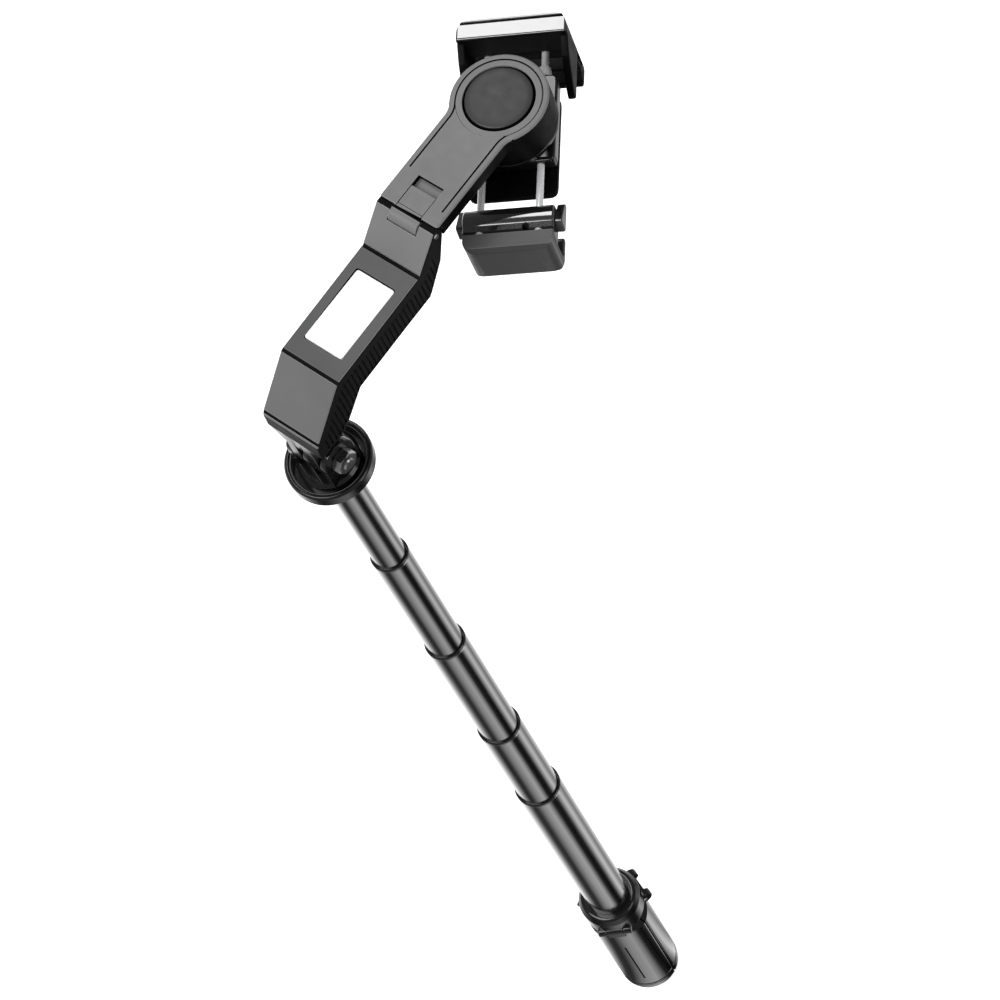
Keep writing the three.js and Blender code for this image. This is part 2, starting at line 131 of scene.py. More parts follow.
def remap(tree, value, low, high, from_low=0.3, from_high=0.7):
    """The value stretched from one range to another, clamped at both ends."""
    node = tree.nodes.new("ShaderNodeMapRange")
    node.inputs["From Min"].default_value = from_low
    node.inputs["From Max"].default_value = from_high
    node.inputs["To Min"].default_value = low
    node.inputs["To Max"].default_value = high
    tree.links.new(value, node.inputs["Value"])
    return node.outputs["Result"]


def tint(tree, value, dark, light):
    """A colour between two others, following a value from 0 to 1."""
    ramp = tree.nodes.new("ShaderNodeValToRGB")
    ramp.color_ramp.elements[0].color = (*dark, 1)
    ramp.color_ramp.elements[1].color = (*light, 1)
    tree.links.new(value, ramp.inputs["Fac"])
    return ramp.outputs["Color"]


def worn_edges(tree, colour, worn, radius, amount):
    """The colour, rubbed towards the worn one along edges tighter than the radius."""
    bevel = tree.nodes.new("ShaderNodeBevel")
    bevel.inputs["Radius"].default_value = radius
    geometry = tree.nodes.new("ShaderNodeNewGeometry")
    dot = tree.nodes.new("ShaderNodeVectorMath")
    dot.operation = "DOT_PRODUCT"
    tree.links.new(bevel.outputs["Normal"], dot.inputs[0])
    tree.links.new(geometry.outputs["Normal"], dot.inputs[1])
    mask = remap(tree, dot.outputs["Value"], amount, 0.0, 0.85, 0.99)
    mix = tree.nodes.new("ShaderNodeMix")
    mix.data_type = "RGBA"
    mix.inputs[7].default_value = (*worn, 1)
    tree.links.new(mask, mix.inputs[0])
    tree.links.new(colour, mix.inputs[6])
    return mix.outputs[2]


def bump(tree, shader, height, depth):
    node = tree.nodes.new("ShaderNodeBump")
    node.inputs["Strength"].default_value = 1.0
    node.inputs["Distance"].default_value = depth
    tree.links.new(height, node.inputs["Height"])
    tree.links.new(node.outputs["Normal"], shader.inputs["Normal"])


def moulded(name, dark, light, roughness, specular=0.5, texture=1800, depth=4e-6, worn=None, coat=0.0):
    """Moulded or painted plastic: mottled colour, uneven gloss and a fine skin texture."""
    material, tree, shader = principled(name, roughness, specular=specular, coat=coat)
    cloud = remap(tree, grain(tree, 45, 2.0), 0.0, 1.0)
    colour = tint(tree, cloud, dark, light)
    if worn:
        colour = worn_edges(tree, colour, worn, 0.0005, 0.5)
    tree.links.new(colour, shader.inputs["Base Color"])
    gloss = remap(tree, grain(tree, 260, 4.0), roughness * 0.88, roughness * 1.12)
    tree.links.new(gloss, shader.inputs["Roughness"])
    bump(tree, shader, grain(tree, texture, 2.0), depth)
    return material


def drawn_metal(name, dark, light, roughness, stretch, depth=2e-6, metallic=1.0):
    """Drawn or turned metal: fine lines along one direction under a polished anodised skin."""
    material, tree, shader = principled(name, roughness, metallic=metallic)
    lines = grain(tree, 900, 3.0, stretch)
    tree.links.new(tint(tree, remap(tree, lines, 0.0, 1.0), dark, light), shader.inputs["Base Color"])
    tree.links.new(remap(tree, lines, roughness * 0.75, roughness * 1.3), shader.inputs["Roughness"])
    bump(tree, shader, lines, depth)
    return material


def grey(level):
    """A grey with a trace of blue."""
    return (level, level, level * 1.015)


# moulded: dark, light, roughness, specular, texture, depth, worn edge, coat
# drawn metal: dark, light, roughness, stretch of the lines, depth, metallic
MATERIALS = {
    "grey_shell": moulded("grey_shell", grey(0.17), grey(0.188), 0.42, 0.3, 2200, 5e-6, grey(0.34)),
    # a darker copy of the grey shell: painted shade for the arm's facets before the window
    "grey_shell_shaded": moulded("grey_shell_shaded", grey(0.133), grey(0.148), 0.42, 0.3, 2200, 5e-6, grey(0.3)),
    # the window frame's darker grey, also used as a painted highlight on the lower jaw
    "frame_grey_and_jaw_sheen": moulded("frame_grey_and_jaw_sheen", grey(0.085), grey(0.096), 0.38, 0.3, 2200, 3e-6, grey(0.18)),
    # the motor cap's grey, also used as painted sheen under the lower jaw
    "cap_grey_and_jaw_sheen": moulded("cap_grey_and_jaw_sheen", grey(0.037), grey(0.043), 0.4, 0.3, 2600, 3e-6),
    "black_matte": moulded("black_matte", grey(0.0015), grey(0.003), 0.45, 0.06, 1600, 8e-6),
    "black_gloss": moulded("black_gloss", grey(0.005), grey(0.008), 0.14, 0.5, 700, 1.5e-6, grey(0.03)),
    "jaw_gloss": moulded("jaw_gloss", grey(0.006), grey(0.010), 0.12, 1.0, 700, 1.5e-6, grey(0.05), 1.0),
    "handle_skin": drawn_metal("handle_skin", grey(0.19), grey(0.23), 0.15, (1, 1, 0.01)),
    # near-black for seams, grooves and holes; also painted shade on the motor lid's side and the latch
    # pocket's walls
    "seam_and_shade_black": moulded("seam_and_shade_black", grey(0.002), grey(0.004), 0.7, 0.1, 1500, 4e-6),
    "tube_metal": drawn_metal("tube_metal", grey(0.27), grey(0.31), 0.14, (1, 1, 0.01)),
    "steel": drawn_metal("steel", grey(0.72), grey(0.82), 0.12, (1, 1, 1)),
    "rod_chrome": drawn_metal("rod_chrome", grey(0.86), grey(0.9), 0.3, (4, 4, 4), 3e-7, 0.35),
    "dark_steel": drawn_metal("dark_steel", grey(0.3), grey(0.36), 0.22, (1, 1, 1)),
    "rubber": moulded("rubber", grey(0.010), grey(0.016), 0.75, 0.3, 2600, 1.2e-5),
    "white_panel": moulded("white_panel", grey(0.93), grey(0.96), 0.22, 0.5, 900, 2e-6),
    "bush_white": moulded("bush_white", grey(0.62), grey(0.7), 0.3, 0.5, 1500, 3e-6),
    "copper": drawn_metal("copper", (0.5, 0.24, 0.11), (0.62, 0.32, 0.16), 0.35, (1, 1, 1)),
}


# ---- mesh building --------------------------------------------------------------------

def arc(a, b, radius, start, end, steps):
    """Points of an arc about (a, b); the angles are in degrees and both ends are included."""
    turn = [math.radians(start + (end - start) * k / steps) for k in range(steps + 1)]
    return [(a + radius * math.cos(t), b + radius * math.sin(t)) for t in turn]


def fillet(points, radius, steps=4):
    """A closed outline with each corner turned into a curve that reaches about that far."""
    rounded = []
    for i, point in enumerate(points):
        p = Vector(point)
        a = Vector(points[i - 1]) - p
        b = Vector(points[(i + 1) % len(points)]) - p
        half = a.angle(b) / 2
        if half > math.radians(83):
            rounded.append(tuple(p))
            continue
        reach = min(radius / math.tan(half), 0.45 * a.length, 0.45 * b.length)
        start = p + a.normalized() * reach
        end = p + b.normalized() * reach
        for k in range(steps + 1):
            t = k / steps
            rounded.append(tuple(start * (1 - t) ** 2 + p * 2 * t * (1 - t) + end * t ** 2))
    return rounded


def rectangle(x0, x1, y0, y1):
    return [(x0, y0), (x1, y0), (x1, y1), (x0, y1)]


def soften(bm, width, segments=2):
    """Rounds every sharp edge of a solid."""
    edges = [e for e in bm.edges if e.is_manifold and e.calc_face_angle() > math.radians(35)]
    bmesh.ops.bevel(
        bm, geom=edges, offset=width, segments=segments, profile=0.5, affect="EDGES",
        clamp_overlap=False,
    )


def make_object(name, bm, material, place=Matrix.Identity(4)):
    bmesh.ops.recalc_face_normals(bm, faces=bm.faces)
    mesh = bpy.data.meshes.new(name)
    bm.to_mesh(mesh)
    bm.free()
    mesh.transform(Matrix.Scale(MM, 4) @ place)
    mesh.materials.append(MATERIALS[material])
    obj = bpy.data.objects.new(name, mesh)
    bpy.context.scene.collection.objects.link(obj)
    return obj


def axis_matrix(axis):
    """Turns (a, b, level) into row coordinates for an outline drawn across that axis."""
    rows = {
        "Z": ((1, 0, 0), (0, 1, 0), (0, 0, 1)),
        "X": ((0, 0, 1), (1, 0, 0), (0, 1, 0)),
        "Y": ((1, 0, 0), (0, 0, 1), (0, 1, 0)),
    }
    return Matrix(rows[axis]).to_4x4()


def prism(name, outline, low, high, material, axis="Z", bevel=0.0, place=Matrix.Identity(4), segments=2):
    """A closed outline made solid between two levels along an axis."""
    bm = bmesh.new()
    ends = [[bm.verts.new((a, b, level)) for a, b in outline] for level in (low, high)]
    bm.faces.new(ends[0])
    bm.faces.new(ends[1])
    for i in range(len(outline)):
        bm.faces.new((ends[0][i - 1], ends[0][i], ends[1][i], ends[1][i - 1]))
    bmesh.ops.recalc_face_normals(bm, faces=bm.faces)
    if bevel:
        soften(bm, bevel, segments)
    return make_object(name, bm, material, place @ axis_matrix(axis))


def lathe(name, profile, material, steps=96, place=Matrix.Identity(4)):
    """A closed (radius, height) profile turned about Z."""
    bm = bmesh.new()
    rows = []
    for radius, height in profile:
        count = 1 if radius < 1e-6 else steps
        turn = [math.tau * k / count for k in range(count)]
        rows.append([bm.verts.new((radius * math.cos(t), radius * math.sin(t), height)) for t in turn])
    for a, b in zip(rows, rows[1:] + rows[:1]):
        for k in range(steps):
            corners = (a[k % len(a)], a[(k + 1) % len(a)], b[(k + 1) % len(b)], b[k % len(b)])
            corners = list(dict.fromkeys(corners))
            if len(corners) > 2:
                bm.faces.new(corners)
    return make_object(name, bm, material, place)


def boxes(name, corners, material, bevel=0.0, place=Matrix.Identity(4)):
    """One object of separate boxes, each given as (x0, x1, y0, y1, z0, z1)."""
    bm = bmesh.new()
    for x0, x1, y0, y1, z0, z1 in corners:
        size = Matrix.Diagonal((x1 - x0, y1 - y0, z1 - z0, 1))
        centre = Matrix.Translation(((x0 + x1) / 2, (y0 + y1) / 2, (z0 + z1) / 2))
        bmesh.ops.create_cube(bm, size=1, matrix=centre @ size)
    if bevel:
        soften(bm, bevel)
    return make_object(name, bm, material, place)


def along(axis, x=0.0, y=0.0, z=0.0):
    """Carries a lathe's Z axis onto another axis through a point."""
    turns = {"X": Matrix.Rotation(math.pi / 2, 4, "Y"), "Y": Matrix.Rotation(-math.pi / 2, 4, "X")}
    return Matrix.Translation((x, y, z)) @ turns.get(axis, Matrix.Identity(4))


def rod(name, radius, low, high, material, place=Matrix.Identity(4), edge=0.3, steps=48):
    """A round bar with eased ends."""
    profile = [(0, low), (radius - edge, low), (radius, low + edge), (radius, high - edge)]
    return lathe(name, profile + [(radius - edge, high), (0, high)], material, steps, place)


def combine(obj, operation, *others):
    """Joins, cuts or trims the object by the others, which are used up."""
    for other in others:
        modifier = obj.modifiers.new(operation, "BOOLEAN")
        modifier.operation = operation
        modifier.solver = "MANIFOLD"
        modifier.material_mode = "TRANSFER"
        modifier.object = other
    result = obj.evaluated_get(bpy.context.evaluated_depsgraph_get())
    obj.data = bpy.data.meshes.new_from_object(result)
    obj.modifiers.clear()
    for other in others:
        bpy.data.objects.remove(other)
    return obj


def paint(obj, material, test):
    """Gives a material to the faces whose (centre in mm, normal) pass the test."""
    names = [m.name for m in obj.data.materials]
    if material not in names:
        obj.data.materials.append(MATERIALS[material])
        names.append(material)
    for face in obj.data.polygons:
        if test(face.center / MM, face.normal):
            face.material_index = names.index(material)


def settle(obj, slot, *nodes, smooth=32):
    """Smooth-shades the piece, puts it in place of its CAD nodes and lets it ride on their body."""
    obj.data.shade_smooth()
    obj.data.set_sharp_from_angle(angle=math.radians(smooth))
    normals = obj.modifiers.new("normals", "WEIGHTED_NORMAL")
    normals.keep_sharp = True
    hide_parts(*nodes)
    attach(obj, frame["nodes"][nodes[0]]["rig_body"])
    return obj


# ---- handle ---------------------------------------------------------------------------

# the leg pins' distance from the pole's axis, their height, and the holes they sit in
PIN_ORBIT, PIN_Z, PIN_HOLE = 13.2, 90.0, 1.1
EYE_WIDTH, EYE_ROOM = 8.0, 2.8
HANDLE_OUTER, HANDLE_INNER, HEEL_RADIUS = 14.4, 10.3, 3.4
LEG_HALF_DEG = 58.5
LARGE_LOBE, SMALL_LOBE, LOBE_HALF = 3.85, 2.3, 7.75


def leg_place(angle):
    return Matrix.Rotation(math.radians(angle), 4, "Z")


def leg_pin_place(angle):
    """Carries a lathe's Z axis onto the pin of the leg at this angle."""
    return leg_place(angle) @ along("Y", PIN_ORBIT, 0, PIN_Z)


def leg_sector(name, low, high, place):
    """A third of the handle's wall between two heights."""
    outline = arc(0, 0, HANDLE_OUTER, -LEG_HALF_DEG, LEG_HALF_DEG, 40)
    outline += arc(0, 0, HANDLE_INNER, LEG_HALF_DEG, -LEG_HALF_DEG, 40)
    return prism(name, outline, low, high, "handle_skin", bevel=0.5, place=place, segments=3)


def make_leg(number, angle):
    """One leg: its wall with tapered shoulders, the stem and eye of its hinge, and a seam."""
    node = f"leg_{number}"
    place, pin_place = leg_place(angle), leg_pin_place(angle)
    foot_top = span(f"{node}_foot")[1].z
    shoulder = PIN_Z - 5
    half = EYE_WIDTH / 2
    leg = leg_sector(f"{node}_shell", foot_top + 0.05, shoulder, place)
    front = [
        (-20, 0), (20, 0), (20, shoulder - 13), (half + 1, shoulder), (-half - 1, shoulder),
        (-20, shoulder - 13),
    ]
    combine(leg, "INTERSECT", prism("mask", fillet(front, 3), 0, 20, "black_gloss", "X", place=place))
    block = (PIN_ORBIT - 2, PIN_ORBIT + 1.2, -half, half, PIN_Z - 7, PIN_Z)
    stem = boxes("stem", [block], "black_gloss", place=place)
    eye = rod("eye", EYE_ROOM - 0.7, -half, half, "black_gloss", pin_place)
    combine(leg, "UNION", stem, eye)
    bore = rod("bore", PIN_HOLE, -half - 1, half + 1, "steel", pin_place, 0.0)
    seam = fillet(rectangle(-0.4, 0.4, 18, PIN_Z - 23), 0.35)
    slit = prism("slit", seam, HANDLE_OUTER - 0.5, 20, "seam_and_shade_black", "X", place=place)
    combine(leg, "DIFFERENCE", bore, slit)
    settle(leg, "black_gloss", node)


def make_foot(number, angle):
    """One leg's foot, with a rounded heel and two grip grooves."""
    node = f"leg_{number}_foot"
    top = span(node)[1].z
    foot = leg_sector(f"{node}_pad", 0, top, leg_place(angle))
    heel = arc(HANDLE_OUTER - HEEL_RADIUS, HEEL_RADIUS, HEEL_RADIUS, -90, 0, 12)
    heel = [(0, 0), *heel, (HANDLE_OUTER, top), (0, top)]
    combine(foot, "INTERSECT", lathe("heel", heel, "handle_skin"))
    inner, outer = HANDLE_OUTER - 0.35, HANDLE_OUTER + 1
    grips = []
    for z in (top - 2.4, top - 0.9):
        groove = [(inner, z), (outer, z - 0.3), (outer, z + 0.9), (inner, z + 0.6)]
        grips.append(lathe("grip", groove, "rubber"))
    combine(foot, "DIFFERENCE", *grips)
    settle(foot, "rubber", node)


def make_leg_pin(number, angle):
    node = f"leg_{number}_pin"
    pin = rod(f"{node}_dowel", 1.05, -7.3, 7.3, "steel", leg_pin_place(angle))
    settle(pin, "steel", node)


def make_hub():
    """The collar round the bottom tube, with a forked lobe for each leg's pin."""
    low, high = span("leg_hub")[0].z, span("leg_hub")[1].z - 4
    profile = [
        (7, low), (12.6, low), (HANDLE_OUTER, low + 2.4), (HANDLE_OUTER, high - 3.4),
        (12.6, high), (7, high),
    ]
    hub = lathe("hub_shell", fillet(profile, 2.2, 6), "black_gloss")
    half = EYE_WIDTH / 2 + 0.3
    lobes, gaps = [], []
    for angle in LEG_ANGLES:
        place = leg_place(angle)
        bulge = LARGE_LOBE if angle == LEG_ANGLES[0] else SMALL_LOBE
        lobe = arc(PIN_ORBIT, PIN_Z, bulge, -90, 90, 20) + [(8, PIN_Z + bulge), (8, low + 0.05)]
        lobes.append(prism("lobe", lobe, -LOBE_HALF, LOBE_HALF, "black_gloss", "Y", 0.7, place, 3))
        gap = (HANDLE_INNER - 0.1, 20, -half, half, low - 5, PIN_Z + EYE_ROOM + 0.6)
        gaps.append(boxes("gap", [gap], "black_gloss", place=place))
        gaps.append(rod("hole", PIN_HOLE, -12, 12, "steel", leg_pin_place(angle), 0.0))
    combine(hub, "UNION", *lobes)
    gaps.append(rod("bore", 9.98, low - 5, high + 5, "black_gloss", edge=0.0, steps=96))
    combine(hub, "DIFFERENCE", *gaps)
    settle(hub, "black_gloss", "leg_hub")


def make_base_plug():
    corner = span("base_plug")[1]
    r, top, step, neck = corner.x, corner.z, 3.15, 9.2
    profile = [
        (0, 0.6), (5.5, 0.6), (6.1, 0), (r - 0.5, 0), (r, 0.5), (r, step), (neck, step),
        (neck, top - 0.5), (8.7, top), (0, top),
    ]
    settle(lathe("base_plug_disc", profile, "black_gloss"), "black_gloss", "base_plug")


def make_handle():
    for number, angle in enumerate(LEG_ANGLES, 1):
        make_leg(number, angle)
        make_foot(number, angle)
        make_leg_pin(number, angle)
    make_hub()
    make_base_plug()


# ---- telescopic pole ------------------------------------------------------------------

WALL, SLIDE_GAP = 0.6, 0.12


def ring_profile(outer, inner, low, high, edge):
    """A tube wall's section with eased outer edges."""
    return [
        (inner, low), (outer - edge, low), (outer, low + edge), (outer, high - edge),
        (outer - edge, high), (inner, high),
    ]


def make_pole():
    """Five tubes, each with a mouth ring above and a glide sleeve below where it slides."""
    for letter in "abcde":
        node = f"tube_{letter}"
        lo, hi = span(node)
        wall = ring_profile(hi.x, hi.x - WALL, lo.z, hi.z, 0.15)
        settle(lathe(f"{node}_barrel", wall, "tube_metal", 128), "tube_metal", node)
        if letter != "a":
            low, high = span(f"{node}_glide")
            sleeve = ring_profile(high.x, hi.x - WALL, low.z, high.z, 0.3)
            settle(lathe(f"{node}_sleeve", sleeve, "rubber"), "rubber", f"{node}_glide")
        if letter != "e":
            low, high = span(f"{node}_mouth")
            inner = span(f"tube_{chr(ord(letter) + 1)}")[1].x + SLIDE_GAP
            lip = ring_profile(high.x, inner, low.z, high.z, 0.5)
            collar = lathe(f"{node}_collar", lip, "black_gloss", 128)
            paint(collar, "tube_metal", lambda c, n: abs(n.z) < 0.3 and n.x * c.x + n.y * c.y > 0)
            settle(collar, "black_gloss", f"{node}_mouth")


# ---- head -----------------------------------------------------------------------------

ARM_FINGERS = ((-5.9, -1.7), (1.7, 5.9))
CLEVIS_FINGERS = ((-9, -6.2), (-1.4, 1.4), (6.2, 9))
FINGER_RADIUS, BOLT_RADIUS = 7.2, 2.4
CUP_FLOOR = 572.0
TILT_AXIS = along("X", 0, 0, TILT_Z)


def make_pole_cap():
    lo, hi = span("pole_cap")
    fit, flange, spigot = 5.6, hi.x, 4
    low, edge, top = 564.05, 566, 568
    shape = [
        (0, lo.z), (fit, lo.z), (fit, low), (flange - 2, low), (flange, edge), (flange, top),
        (spigot, top), (spigot, hi.z), (0, hi.z),
    ]
    settle(lathe("pole_cap_flange", shape, "black_gloss"), "black_gloss", "pole_cap")


def make_cup():
    """The round cup that turns on the pole cap, and the ring let into its rim."""
    r = CUP_HI.x
    low, top = CUP_LO.z, CUP_HI.z
    rim = r - 1.7
    shape = [
        (4.1, low), (11.6, low), (14.6, low + 1.3), (r, low + 3.1), (r, top - 0.8), (r - 0.6, top),
        (rim, top), (rim - 0.6, CUP_FLOOR), (4.1, CUP_FLOOR),
    ]
    cup = lathe("cup_bowl", fillet(shape, 0.5, 5), "black_gloss", 128)
    settle(cup, "black_gloss", "swivel_cup")
    lo, hi = span("cup_trim")
    band = [(hi.x - 1.0, lo.z), (hi.x - 0.55, lo.z), (hi.x, hi.z), (hi.x - 0.5, hi.z)]
    trim = lathe("cup_trim_ring", fillet(band, 0.1), "frame_grey_and_jaw_sheen", 128)
    settle(trim, "steel", "cup_trim")


def make_clevis():
    """Three fingers on a round base, with room between them for the arm's two."""
    floor = CUP_FLOOR + 0.05
    base = [(0, floor), (11.2, floor), (11.2, floor + 3.2), (10.2, floor + 4.2), (0, floor + 4.2)]
    clevis = lathe("clevis_block", base, "black_gloss")
    fingers = []
    for x0, x1 in CLEVIS_FINGERS:
        side = arc(0, TILT_Z, FINGER_RADIUS, 0, 180, 40)
        side += [(-FINGER_RADIUS, floor + 2), (FINGER_RADIUS, floor + 2)]
        fingers.append(prism("finger", side, x0, x1, "black_gloss", "X", 0.5))
    combine(clevis, "UNION", *fingers)
    spindle = rod("spindle", 4.4, floor - 1, 573.6, "black_gloss", edge=0.0)
    bolt = rod("bolt", BOLT_RADIUS + 0.05, -20, 20, "steel", TILT_AXIS, 0.0)
    slots = []
    for x0, x1 in ARM_FINGERS:
        room = FINGER_RADIUS + 0.6
        slots.append(rod("slot", room, x0 - 0.3, x1 + 0.3, "black_gloss", TILT_AXIS, 0.0, 96))
    combine(clevis, "DIFFERENCE", spindle, bolt, *slots)
    settle(clevis, "black_gloss", "tilt_clevis")


def make_bolt():
    """The tilt bolt with a socket in its head, and its nut."""
    lo, hi = span("tilt_bolt")
    shape = [
        (0, lo.x), (3.5, lo.x), (4.2, lo.x + 0.7), (4.2, -9.05), (BOLT_RADIUS, -9.05),
        (BOLT_RADIUS, hi.x - 0.5), (BOLT_RADIUS - 0.5, hi.x), (0, hi.x),
    ]
    head = lathe("bolt_screw", shape, "dark_steel", 64, TILT_AXIS)
    socket = prism("socket", arc(0, TILT_Z, 1.9, 30, 330, 5), lo.x - 1, lo.x + 1.6, "dark_steel", "X")
    combine(head, "DIFFERENCE", socket)
    settle(head, "steel", "tilt_bolt")
    low, high = span("tilt_nut")
    nut = prism("nut_hex", arc(0, TILT_Z, 4.6, 0, 300, 5), low.x, high.x, "dark_steel", "X")
    barrel = [
        (0, low.x), (4.0, low.x), (4.7, low.x + 0.6), (4.7, high.x - 0.6), (4.0, high.x), (0, high.x),
    ]
    combine(nut, "INTERSECT", lathe("cone", barrel, "dark_steel", 64, TILT_AXIS))
    combine(nut, "DIFFERENCE", rod("thread", BOLT_RADIUS + 0.08, 0, 20, "steel", TILT_AXIS, 0.0))
    settle(nut, "steel", "tilt_nut")


def make_head():
    make_pole_cap()
    make_cup()
    make_clevis()
    make_bolt()


# ---- lower arm ------------------------------------------------------------------------

FOLD_AXIS = along("X", 0, FOLD_Y, FOLD_Z)
KNUCKLE_HALF, KNUCKLE_RADIUS, KNUCKLE_ROOM = 6.0, 3.3, 3.6


def end_outline(node):
    """The outer loop of the node's flat face at its highest x, as (y, z) in millimetres."""
    bm = bmesh.new()
    bm.from_mesh(frame["nodes"][node].data)
    bmesh.ops.remove_doubles(bm, verts=bm.verts, dist=1e-6)
    level = max(v.co.x for v in bm.verts)
    flat = {f for f in bm.faces if all(abs(v.co.x - level) < 1e-6 for v in f.verts)}
    rim = [e for e in bm.edges if sum(f in flat for f in e.link_faces) == 1]
    loops = []
    while rim:
        edge = rim.pop(0)
        loop = [edge.verts[0], edge.verts[1]]
        while loop[-1] != loop[0]:
            edge = next(e for e in loop[-1].link_edges if e in rim)
            rim.remove(edge)
            loop.append(edge.other_vert(loop[-1]))
        loops.append([(v.co.y / MM, v.co.z / MM) for v in loop[:-1]])
    bm.free()
    return max(loops, key=lambda loop: max(y for y, z in loop) - min(y for y, z in loop))


def upper_chain(outline):
    """The outline's corners that nothing else of it lies above, from the front to the back."""
    chain = []
    for y, z in outline:
        above = False
        for (ya, za), (yb, zb) in zip(outline, outline[1:] + outline[:1]):
            if min(ya, yb) < y - 0.01 and max(ya, yb) > y + 0.01:
                above = above or za + (zb - za) * (y - ya) / (yb - ya) > z + 0.01
        if not above:
            chain.append(Vector((y, z)))
    return sorted(chain, key=lambda p: p.x)


def fold_cutters(name, corners, sections, material):
    """A cutter along each fold edge; a section is (along the surface, out of it) pairs."""
    cutters = []
    for k, section in enumerate(sections):
        before, point, after = corners[k:k + 3]
        tangent = ((point - before).normalized() + (after - point).normalized()).normalized()
        normal = Vector((-tangent.y, tangent.x))
        outline = [tuple(point + tangent * t + normal * n) for t, n in section]
        cutters.append(prism(name, outline, -20, 20, material, "X"))
    return cutters


def arm_fork():
    """The neck under the arm's nose and its two fingers between the clevis's three."""
    fingers = []
    for x0, x1 in ARM_FINGERS:
        side = [(-6.8, 602)] + arc(0, TILT_Z, FINGER_RADIUS, 180, 360, 40)
        side += [(FINGER_RADIUS, 596), (8.4, 603.6)]
        fingers.append(prism("finger", side, x0, x1, "black_gloss", "X", 0.5))
    neck = [(-12.2, 602.5), (-11, 599.8), (-9.4, 597.8), (-7.8, 595.2), (-5.9, 594.6)]
    neck += [(-x, z) for x, z in reversed(neck)]
    return [prism("bridge", fillet(neck, 1.5), -6.7, 6.7, "black_gloss", "Y", 0.6), *fingers]


def arm_holes():
    """Cutters for the knuckle's room, the fold pin and the tilt bolt."""
    half = KNUCKLE_HALF + 0.3
    return [
        rod("room", KNUCKLE_ROOM, -half, half, "black_matte", FOLD_AXIS, 0.0, 64),
        boxes("above", [(-half, half, FOLD_Y, 90, 630, 650)], "black_matte"),
        rod("pin_hole", 1.15, -20, 20, "steel", FOLD_AXIS, 0.0),
        rod("tilt_hole", BOLT_RADIUS + 0.1, -20, 20, "steel", TILT_AXIS, 0.0),
    ]


def arm_wells():
    """Cutters for the window and for the cell under it."""
    gap = 0.3
    lo, hi = span("window_panel")
    opening = fillet(rectangle(-hi.x - gap, hi.x + gap, lo.y - gap, hi.y + gap), 1.2)
    window = prism("window", opening, lo.z - 0.05, 630, "seam_and_shade_black")
    gap = 0.4
    lo, hi = span("battery_cell")
    pouch = (-hi.x - gap, hi.x + gap, lo.y - gap, hi.y + gap, lo.z - gap, 628)
    return [window, boxes("well", [pouch], "seam_and_shade_black")]


def side_ribs():
    """Cutters for the upright grip ribs on both side walls."""
    pitch, width, depth = 2.0, 0.9, 0.3
    cuts = []
    for k in range(34):
        y = -3 + pitch * k
        low = 601 + max(0, min(10, (y - 4) * 0.7))
        high = min(622, 606 + (y + 5) * 0.9)
        if y > 57:
            low = 612 + (y - 57) * 1.06
            high = 622 + (y - 57) * 0.85
        for side in (-1, 1):
            x0, x1 = sorted((side * (ARM_HALF - depth), side * (ARM_HALF + 1)))
            cuts.append((x0, x1, y, y + width, low + 1.2, high))
    return boxes("ribs", cuts, "black_matte")


def paint_arm(arm, window_start, window_end):
    """Grey facets on top: darkest at the window, a little darker before it than after it, where a darker
    copy of the grey is painted shade.
    """
    def on_top(c, n):
        return n.z > 0.3 and abs(n.x) < 0.85 and c.z > 606

    paint(arm, "grey_shell", lambda c, n: on_top(c, n) and n.y < 0.4)
    paint(arm, "frame_grey_and_jaw_sheen", lambda c, n: n.z > 0.9 and window_start < c.y < window_end and c.z > 624.5)
    # painted shade: the facets before the window take the darker copy of the grey
    paint(arm, "grey_shell_shaded", lambda c, n: on_top(c, n) and c.y < window_start)


def make_lower_arm():
    """The bent arm: body, fork, pockets, painted facets, fold lines and ribs."""
    outline = end_outline("lower_arm")
    corners = upper_chain(outline)[1:6]
    arm = prism("arm_shell", fillet(outline, 1.2), -ARM_HALF, ARM_HALF, "black_matte", "X", 0.7, segments=3)
    combine(arm, "UNION", *arm_fork())
    combine(arm, "DIFFERENCE", *arm_holes())
    combine(arm, "DIFFERENCE", *arm_wells())
    paint_arm(arm, corners[2].x, corners[3].x)

    eases = []
    for side in (-1, -1, 1):
        eases.append([(side * 0.3, -0.45), (side * 1.3, 0.15), (side * 1.3, 1.5), (side * 0.3, 1.5)])
    combine(arm, "DIFFERENCE", *fold_cutters("ease", corners, eases, "grey_shell"))
    line = rectangle(-0.65, 0.65, -0.6, 2)
    lines = fold_cutters("line", corners, [line] * 3, "seam_and_shade_black")
    hinge_line = (-20, 20, corners[4].x - 0.7, 75, corners[4].y - 1.0, 650)
    lines.append(boxes("hinge_line", [hinge_line], "seam_and_shade_black"))
    combine(arm, "DIFFERENCE", *lines)
    combine(arm, "DIFFERENCE", side_ribs())
    settle(arm, "grey_shell", "lower_arm")


def make_panel():
    """The white window, the battery cell under it and the fold's pin."""
    lo, hi = span("window_panel")
    outline = fillet(rectangle(-hi.x, hi.x, lo.y, hi.y), 1.1)
    panel = prism("panel_lens", outline, lo.z, hi.z - 0.4, "white_panel", bevel=0.3)
    settle(panel, "white_panel", "window_panel")
    lo, hi = span("battery_cell")
    cell = boxes("battery_pouch", [(-hi.x, hi.x, lo.y, hi.y, lo.z, hi.z)], "copper", 1.2)
    settle(cell, "copper", "battery_cell")
    lo, hi = span("fold_pin")
    centre = (lo + hi) / 2
    pin = rod("fold_dowel", FOLD_PIN_RADIUS, lo.x, hi.x, "steel", along("X", 0, centre.y, centre.z))
    settle(pin, "steel", "fold_pin")


# ---- upper arm, motor and latch -------------------------------------------------------

PLATE_START, PLATE_BOTTOM, PLATE_FILLET = 70.0, 631.4, 7.0


